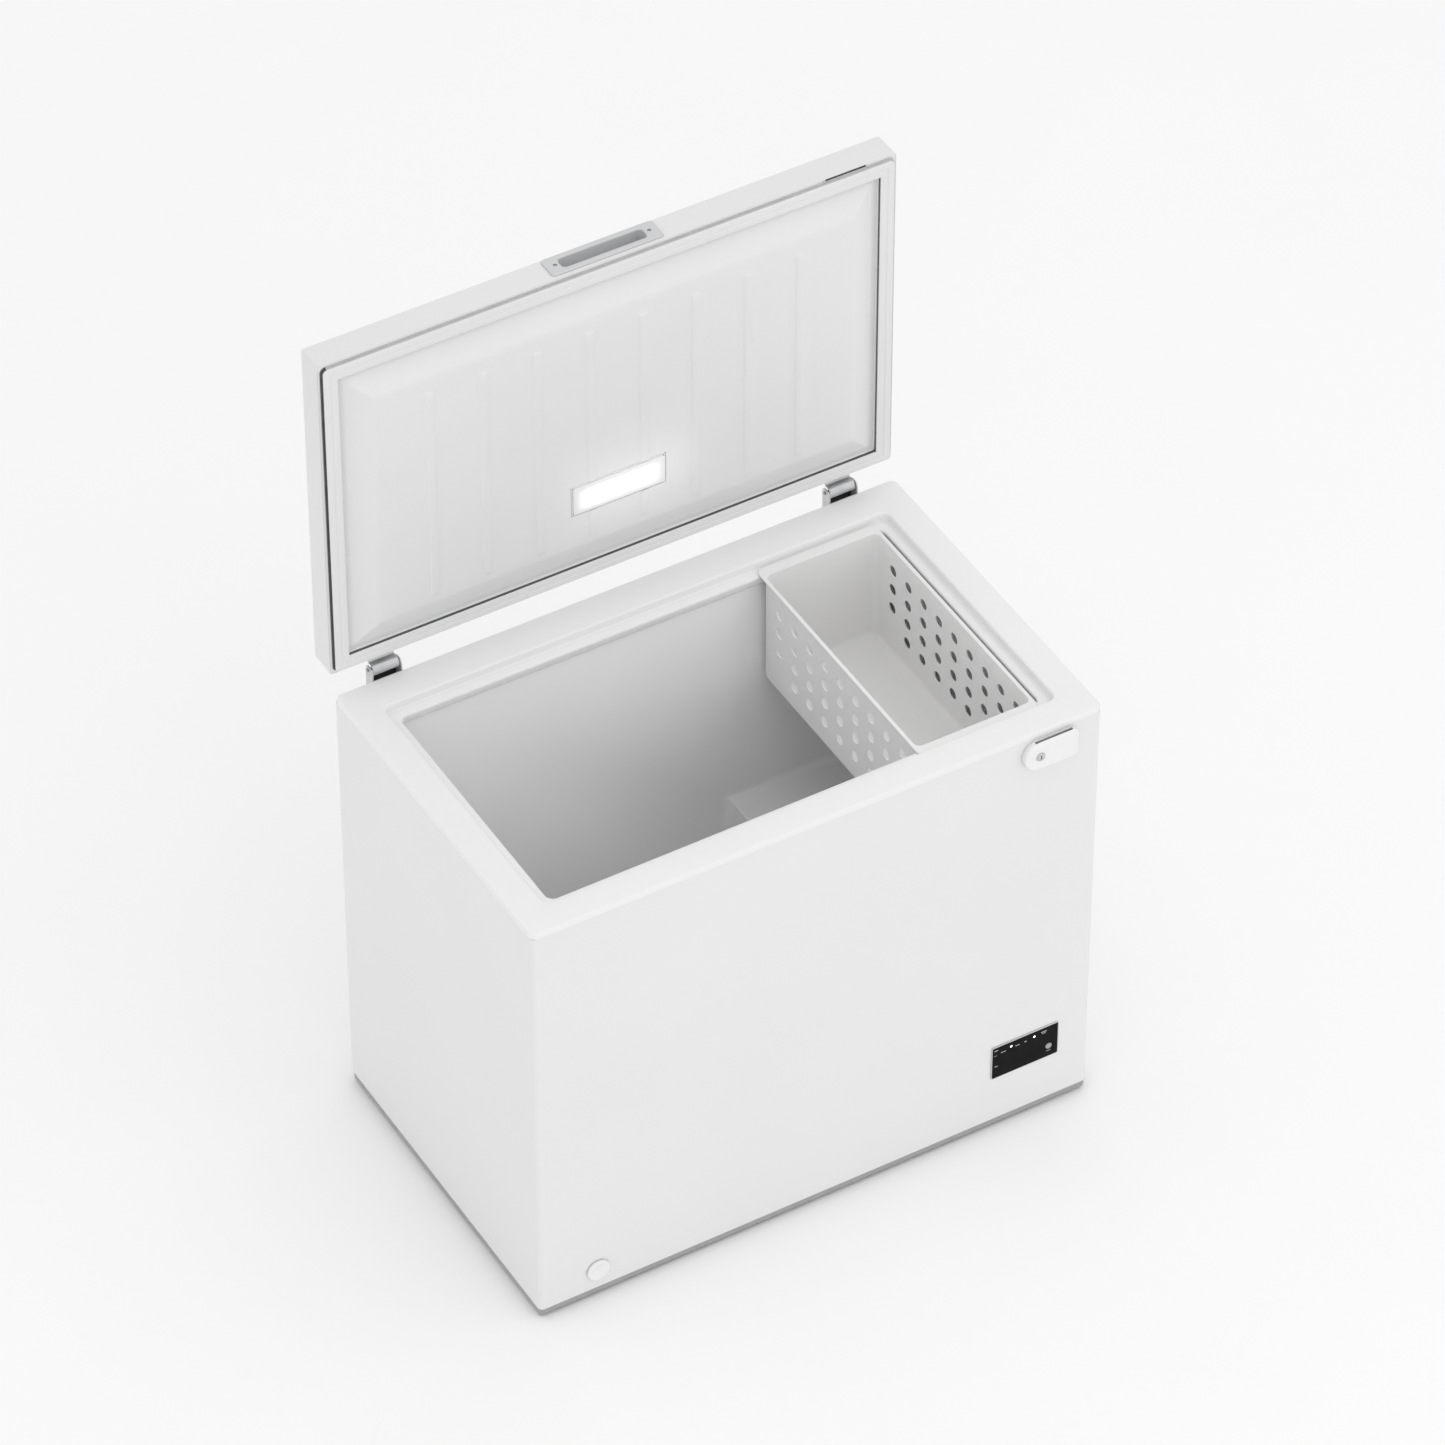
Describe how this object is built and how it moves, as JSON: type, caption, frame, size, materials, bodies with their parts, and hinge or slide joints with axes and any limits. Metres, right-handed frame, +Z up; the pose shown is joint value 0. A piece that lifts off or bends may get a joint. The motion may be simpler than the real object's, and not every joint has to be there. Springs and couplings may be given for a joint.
{
  "type": "chest freezer",
  "caption": "Compact chest freezer with a hinged insulated lid standing open, a hanging perforated basket, a key lock, a front control panel and a drain cap.",
  "frame": {"origin": "On the floor under the middle of the overall box with the lid standing open; the cabinet itself is centred 23 mm in front of it", "axes": "+Z up, -Y towards the front with the lock and control panel, +X to the right of somebody facing the front"},
  "size_m": [0.96, 0.661, 1.4158],
  "materials": {
    "white_steel": "gloss",
    "white_plastic": "satin",
    "liner_white": "satin",
    "lid_liner_white": "satin",
    "basket_white": "satin",
    "gasket_white": "matte",
    "foam_cream": "matte",
    "silver_plastic": "satin",
    "zinc_steel": "satin",
    "spring_steel": "satin",
    "copper": "satin",
    "black_enamel": "satin",
    "black_rubber": "matte",
    "black_gloss": "gloss",
    "dark_plastic": "matte",
    "foot_grey": "matte",
    "grey_plastic": "satin",
    "board_green": "matte",
    "light_guide": "satin",
    "lamp_lens": "satin"
  },
  "bodies": {
    "cabinet": {"outer_shell": "white_steel", "back_panel": "white_steel", "rear_cover": "dark_plastic", "base_pan": "zinc_steel", "skirting": "grey_plastic", "foot_front_left": "foot_grey", "foot_back_left": "foot_grey", "foot_front_right": "foot_grey", "foot_back_right": "foot_grey", "top_frame": "white_plastic", "inner_liner": "liner_white", "cabinet_foam": "foam_cream", "evaporator_coil": "copper", "condenser_coil": "copper", "drain_tube": "white_plastic", "compressor_plate": "zinc_steel", "compressor_grommet_1": "black_rubber", "compressor_grommet_2": "black_rubber", "compressor_grommet_3": "black_rubber", "compressor_grommet_4": "black_rubber", "compressor": "black_enamel", "start_relay": "dark_plastic", "filter_drier": "copper", "suction_line": "copper", "discharge_line": "copper", "cord_gland": "black_rubber", "control_bezel": "grey_plastic", "display_window": "black_gloss", "power_light": "light_guide", "alarm_light": "light_guide", "control_board": "board_green", "lock_housing": "white_plastic", "hinge_base_left": "zinc_steel", "hinge_base_right": "zinc_steel", "hinge_pin_left": "spring_steel", "hinge_pin_right": "spring_steel", "hinge_spring_left": "spring_steel", "hinge_spring_right": "spring_steel"},
    "lid": {"lid_cover": "white_steel", "lid_foam": "foam_cream", "lid_liner": "lid_liner_white", "lid_gasket": "gasket_white", "handle": "silver_plastic", "handle_screw_left": "zinc_steel", "handle_screw_right": "zinc_steel", "lamp_housing": "white_plastic", "lamp_board": "board_green", "lamp_lens": "lamp_lens", "strike_plate": "zinc_steel", "hinge_arm_left": "zinc_steel", "hinge_arm_right": "zinc_steel"},
    "basket": {"basket": "basket_white"},
    "lock": {"lock_cylinder": "zinc_steel", "lock_hook": "zinc_steel"},
    "set_button": {"set_button": "grey_plastic"},
    "drain_plug": {"drain_cap": "white_plastic"}
  },
  "joints": [
    {"name": "lid_hinge", "type": "hinge", "parent": "cabinet", "child": "lid", "pos_m": [0, 0.2845, 0.8035], "axis": [1, 0, 0], "range_deg": [0, 90]},
    {"name": "basket_slide", "type": "slide", "parent": "cabinet", "child": "basket", "axis": [-1, 0, 0], "range_m": [0, 0.606]},
    {"name": "lock_turn", "type": "hinge", "parent": "cabinet", "child": "lock", "pos_m": [0.367, -0.3227, 0.752], "axis": [0, -1, 0], "range_deg": [0, 90]},
    {"name": "set_button_press", "type": "slide", "parent": "cabinet", "child": "set_button", "axis": [0, 1, 0], "range_m": [0, 0.0012], "stiffness_N_per_m": 300},
    {"name": "drain_cap_pull", "type": "slide", "parent": "cabinet", "child": "drain_plug", "axis": [0, -1, 0], "range_m": [0, 0.03]}
  ]
}
